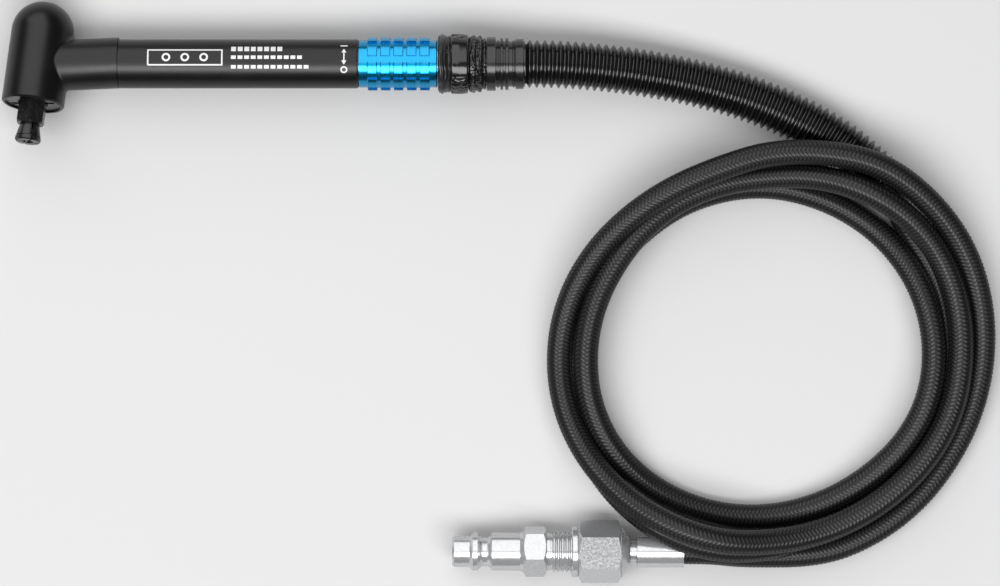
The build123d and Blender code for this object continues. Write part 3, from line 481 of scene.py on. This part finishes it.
def braided_tube(name, path, radius, relief, material):
    """A braided hose whose quads are the half-cells of a two-over, two-under braid.

    U runs across the strands and V along them. Each visible length of a strand has its middle
    where V less the whole part of U is a multiple of 4.
    """
    around = 4 * BRAID_STRANDS
    rows = int(path.length / (BRAID_PITCH / 4))
    distances = np.linspace(0, path.length, rows)
    centres, sides, ups = path.stations(distances)
    vertices, index = [], {}
    for row in range(rows):
        for column in range(row % 2, around, 2):
            a, b = (row + column) // 2, (row - column) // 2
            reach = radius - relief + relief * strand_height(a, b)
            angle = 2 * math.pi * column / around
            index[row, column] = len(vertices)
            outward = math.cos(angle) * sides[row] + math.sin(angle) * ups[row]
            vertices.append(centres[row] + reach * outward)
    faces, uvs = [], []
    for row in range(rows - 2):
        for column in range(row % 2, around, 2):
            a, b = (row + column) // 2, (row - column) // 2
            corners = [(row, column, 0, 0), (row + 1, (column + 1) % around, 1, 0),
                       (row + 2, column, 1, 1), (row + 1, (column - 1) % around, 0, 1)]
            faces.append([index[r, c] for r, c, _, _ in corners])
            first_on_top = (a // 2 - b // 2) % 4 < 2
            for _, _, along_a, along_b in corners:
                place = ((a + along_a) / 2, (b + along_b) / 2)
                uvs.append(place if first_on_top else (place[1], place[0] - 3))
    return mesh_piece(name, vertices, faces, material, uvs=uvs)


def ring_tube(name, path, profile, around, material):
    """A tube whose rings follow a profile of (distance along, radius) points, in metres."""
    distances = np.array([d for d, _ in profile])
    radii = np.array([r for _, r in profile])
    centres, sides, ups = path.stations(distances)
    angles = np.linspace(0, 2 * np.pi, around, endpoint=False)
    cosines, sines = np.cos(angles)[None, :, None], np.sin(angles)[None, :, None]
    ring = cosines * sides[:, None, :] + sines * ups[:, None, :]
    vertices = (centres[:, None, :] + radii[:, None, None] * ring).reshape(-1, 3)
    faces = []
    for row in range(len(profile) - 1):
        for k in range(around):
            here, there = row * around + k, row * around + (k + 1) % around
            faces.append((here, there, there + around, here + around))
    return mesh_piece(name, vertices, faces, material)


CORRUGATION_PITCH = 2.33 * MM
PEAK_R, VALLEY_R, WALL = 7.45 * MM, 6.2 * MM, 0.45 * MM
CORRUGATION = [(0.0, 0.0), (0.2, 0.0), (0.36, 0.45), (0.5, 0.93), (0.56, 1.0), (0.64, 1.0), (0.7, 0.93),
               (0.84, 0.45)]    # (share of the pitch, share of the rise)
INNER_STEPS = 12
EXHAUST_AROUND = 64


def exhaust_profile(length):
    """Corrugations outside, a plain wall inside, from the cuff to the open end and back."""
    count = int(length / CORRUGATION_PITCH)
    profile = [(0.0, VALLEY_R - WALL), (0.0, VALLEY_R)]
    for ridge in range(count):
        for part, rise in CORRUGATION:
            profile.append(((ridge + part) * CORRUGATION_PITCH, VALLEY_R + rise * (PEAK_R - VALLEY_R)))
    end = count * CORRUGATION_PITCH
    profile += [(end, VALLEY_R), (end, VALLEY_R - WALL)]
    for back in range(INNER_STEPS):
        profile.append((end * (1 - (back + 1) / INNER_STEPS), VALLEY_R - WALL))
    return profile


def make_hoses(materials):
    """The corrugated exhaust hose, and the air hose from the barb in the tool to the ferrule."""
    exhaust_path = Path(spline_points("exhaust_route", EXHAUST_ROUTE))
    exhaust = ring_tube("exhaust_hose_corrugated", exhaust_path, exhaust_profile(exhaust_path.length),
                        EXHAUST_AROUND, materials["black_corrugated"])
    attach(exhaust, "housing")
    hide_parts("exhaust_hose")

    route = [LEAD_START] + EXHAUST_ROUTE[1:] + coil_route() + HOSE_TAIL
    hose_path = Path(spline_points("air_hose_route", route))
    hose = braided_tube("air_hose_braided", hose_path, HOSE_R * MM, BRAID_RELIEF, materials["black_braid"])
    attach(hose, "housing")
    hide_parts("air_hose_lead", "hose_coil", "air_hose_end")


# ================= wrapped and crumpled rings behind the throttle =================

SLEEVE_SIDE = 124.65        # stations along the barrel's axis, as in the CAD
RING_AROUND = 220
RING_STEP = 0.08            # distance between a ring's rows
TAPE_EDGE = 138.3           # the tape lies flatter past this station


def folds(x, y, z, seed):
    """Sharp folds, 0 in a valley and 1 along a crest."""
    return 1 - abs(noise.noise(Vector((x, y, z + seed)))) * 2.2


def crumpled_ring(name, node, outline, inner, crumple, materials, slot):
    """A closed ring about the barrel's axis whose outside is crumpled.

    outline holds (station, radius) points. crumple(station, tilt) gives a rise in millimetres,
    with tilt in radians from straight up towards +Y.
    """
    stations = np.arange(outline[0][0], outline[-1][0], RING_STEP)
    radii = np.interp(stations, [at for at, _ in outline], [radius for _, radius in outline])
    tilts = np.linspace(0, 2 * math.pi, RING_AROUND, endpoint=False)
    rows = [[radius + crumple(at, tilt) for tilt in tilts] for at, radius in zip(stations, radii)]
    ends = [stations[-1], stations[0]]
    rings = [(at, row) for at, row in zip(stations, rows)] + [(at, [inner] * RING_AROUND) for at in ends]
    vertices, faces = [], []
    for at, row in rings:
        for tilt, radius in zip(tilts, row):
            place = CROSSING + Vector((at, radius * math.sin(tilt), radius * math.cos(tilt)))
            vertices.append(place * MM)
    for ring in range(len(rings)):
        here, there = ring * RING_AROUND, (ring + 1) % len(rings) * RING_AROUND
        for k in range(RING_AROUND):
            after = (k + 1) % RING_AROUND
            faces.append((here + k, there + k, there + after, here + after))
    piece = mesh_piece(name, vertices, faces, materials[slot])
    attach(piece, "housing")
    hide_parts(node)


def turned_away(tilt, towards_y, start, end):
    """0 to 1 as a place on a ring turns from start to end degrees away from straight up."""
    side = math.degrees(math.atan2(math.sin(tilt), math.cos(tilt))) * towards_y
    share = min(max((side - start) / (end - start), 0), 1)
    return share * share * (3 - 2 * share)


def rubber_crumple(at, tilt):
    """Uneven lips that run round the ring."""
    wander = 0.5 * noise.noise(Vector((math.sin(tilt) * 1.4, math.cos(tilt) * 1.4, 3.0)))
    lips = math.sin((at + wander) * 6.5)
    lumps = noise.noise(Vector((at * 0.6, math.sin(tilt) * 3, math.cos(tilt) * 3)))
    return 0.10 * lips + 0.28 * lumps


def clamp_crumple(at, tilt):
    """Smooth on top, gathered in long folds along both sides."""
    long_folds = folds(at * 0.22, math.sin(tilt) * 7.5, math.cos(tilt) * 7.5, 0.3)
    short_folds = folds(at * 0.9, math.sin(tilt) * 9, math.cos(tilt) * 9, 7.1)
    sides = max(turned_away(tilt, -1, 24, 34), turned_away(tilt, 1, 46, 60))
    dent = 0.05 * noise.noise(Vector((at * 0.5, math.sin(tilt) * 2, math.cos(tilt) * 2)))
    return sides * (0.26 * long_folds + 0.12 * short_folds - 0.26) + dent


def tape_crumple(at, tilt):
    """Layers pulled tight and gathered all the way round."""
    round_folds = folds(at * 1.1, math.sin(tilt) * 2.6, math.cos(tilt) * 2.6, 2.0)
    cross_folds = folds(at * 0.7, math.sin(tilt) * 6.0, math.cos(tilt) * 6.0, 5.0)
    calm = 0.4 if at > TAPE_EDGE else 1
    return calm * (0.30 * round_folds + 0.26 * cross_folds - 0.42)


def make_wrappings(materials):
    """The rubber ring, the shrunk clamp and the wound tape, behind the throttle."""
    crumpled_ring(
        "rubber_ring_lipped", "rubber_ring",
        [(SLEEVE_SIDE, 8.2), (125.0, 8.9), (125.8, 9.3), (126.4, 9.1), (127.0, 8.75), (127.6, 8.6),
         (128.1, 8.75), (128.45, 8.65)],
        8.52, rubber_crumple, materials, "black_rubber")
    crumpled_ring(
        "clamp_band_shrunk", "clamp_band",
        [(128.5, 8.7), (128.7, 9.1), (129.1, 9.3), (131.0, 9.35), (132.8, 9.2), (133.6, 9.1), (133.9, 8.9),
         (134.1, 8.4)],
        7.98, clamp_crumple, materials, "black_clamp")
    crumpled_ring(
        "tape_wrap_wound", "tape_wrap",
        [(134.15, 8.0), (134.6, 8.6), (135.4, 9.0), (136.0, 8.95), (136.5, 8.4), (136.9, 8.45),
         (137.5, 9.0), (138.1, 8.8), (138.45, 7.9), (138.8, 7.7), (138.95, 8.05), (139.3, 8.05),
         (139.45, 7.7), (139.75, 7.7)],
        6.93, tape_crumple, materials, "black_tape")


# ================= laser marks on the barrel =================

MARK_RISE, MARK_ROOT = 0.03, 0.02
BAR_STRIP = 0.5             # widest flat patch round the barrel
RING_PATCHES = 24


class Marks:
    """Thin patches on the barrel, gathered into one mesh."""

    def __init__(self):
        self.vertices, self.faces = [], []

    def patch(self, corners):
        """A patch from (x, arc) corners in millimetres, arc measured round from straight up."""
        low, high = len(self.vertices), len(self.vertices) + len(corners)
        for radius in (BARREL_R - MARK_ROOT, BARREL_R + MARK_RISE):
            for x, arc in corners:
                tilt = arc / BARREL_R
                self.vertices.append(MM * Vector((x, CROSSING.y + radius * math.sin(tilt),
                                                  CROSSING.z + radius * math.cos(tilt))))
        count = len(corners)
        self.faces.append([high + k for k in range(count)])
        self.faces.append([low + k for k in reversed(range(count))])
        for k in range(count):
            after = (k + 1) % count
            self.faces.append([low + k, low + after, high + after, high + k])

    def bar(self, x_start, x_end, arc_start, arc_end):
        """A rectangle, cut into narrow patches so that it follows the barrel."""
        pieces = max(1, math.ceil(abs(arc_end - arc_start) / BAR_STRIP))
        edges = [arc_start + (arc_end - arc_start) * k / pieces for k in range(pieces + 1)]
        for low, high in zip(edges, edges[1:]):
            self.patch([(x_start, low), (x_end, low), (x_end, high), (x_start, high)])

    def ring(self, x, arc, outer, inner):
        """A circle's outline in short patches."""
        turns = [2 * math.pi * k / RING_PATCHES for k in range(RING_PATCHES + 1)]
        for a, b in zip(turns, turns[1:]):
            self.patch([(x + r * math.cos(t), arc + r * math.sin(t))
                        for r, t in ((inner, a), (outer, a), (outer, b), (inner, b))])


def make_marks(materials):
    """A plain frame, three rows of dashes, and the usual I and O signs beside the throttle."""
    marks = Marks()
    frame_left, frame_right, frame_low, frame_high, line = -35.8, -12.4, -0.9, 4.4, 0.45
    marks.bar(frame_left, frame_right, frame_low, frame_low + line)
    marks.bar(frame_left, frame_right, frame_high - line, frame_high)
    for edge in (frame_left, frame_right - line):
        marks.bar(edge, edge + line, frame_low, frame_high)
    for k in range(3):
        middle = frame_left + (k + 1) * (frame_right - frame_left) / 4
        marks.ring(middle, (frame_low + frame_high) / 2, 1.35, 0.75)
    dash, gap, left = 1.5, 0.55, -9.8
    for arc, height, count in ((4.6, 1.7, 8), (1.7, 1.1, 11), (-1.3, 1.1, 12)):
        for k in range(count):
            start = left + k * (dash + gap)
            marks.bar(start, start + dash, arc - height / 2, arc + height / 2)
    signs_at, sign_half, shaft_half, head_half = 25.2, 1.1, 0.2, 0.8
    marks.bar(signs_at - sign_half, signs_at + sign_half, 5.6, 6.1)
    marks.ring(signs_at, -2.2, sign_half, 0.65)
    marks.bar(signs_at - shaft_half, signs_at + shaft_half, 0.6, 3.4)
    for tip, back, order in ((4.6, 3.3, 1), (-0.6, 0.7, -1)):
        arrow_head = [(signs_at, tip), (signs_at - head_half, back), (signs_at + head_half, back)]
        marks.patch(arrow_head[::order])
    piece = mesh_piece("laser_marks", marks.vertices, marks.faces, materials["laser_etched"], smooth=False)
    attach(piece, "housing")


def dress_cad_nodes(materials):
    """Give each CAD node the material of its slot in the record."""
    slots = {part["node"]: part["material_slot"] for part in frame["record"]["subparts"]}
    for name, node in NODES.items():
        for slot in node.material_slots:
            slot.material = materials[slots[name]]


make_camera()
make_lights()
make_floor()
materials = make_materials()
dress_cad_nodes(materials)
make_hoses(materials)
make_wrappings(materials)
make_marks(materials)
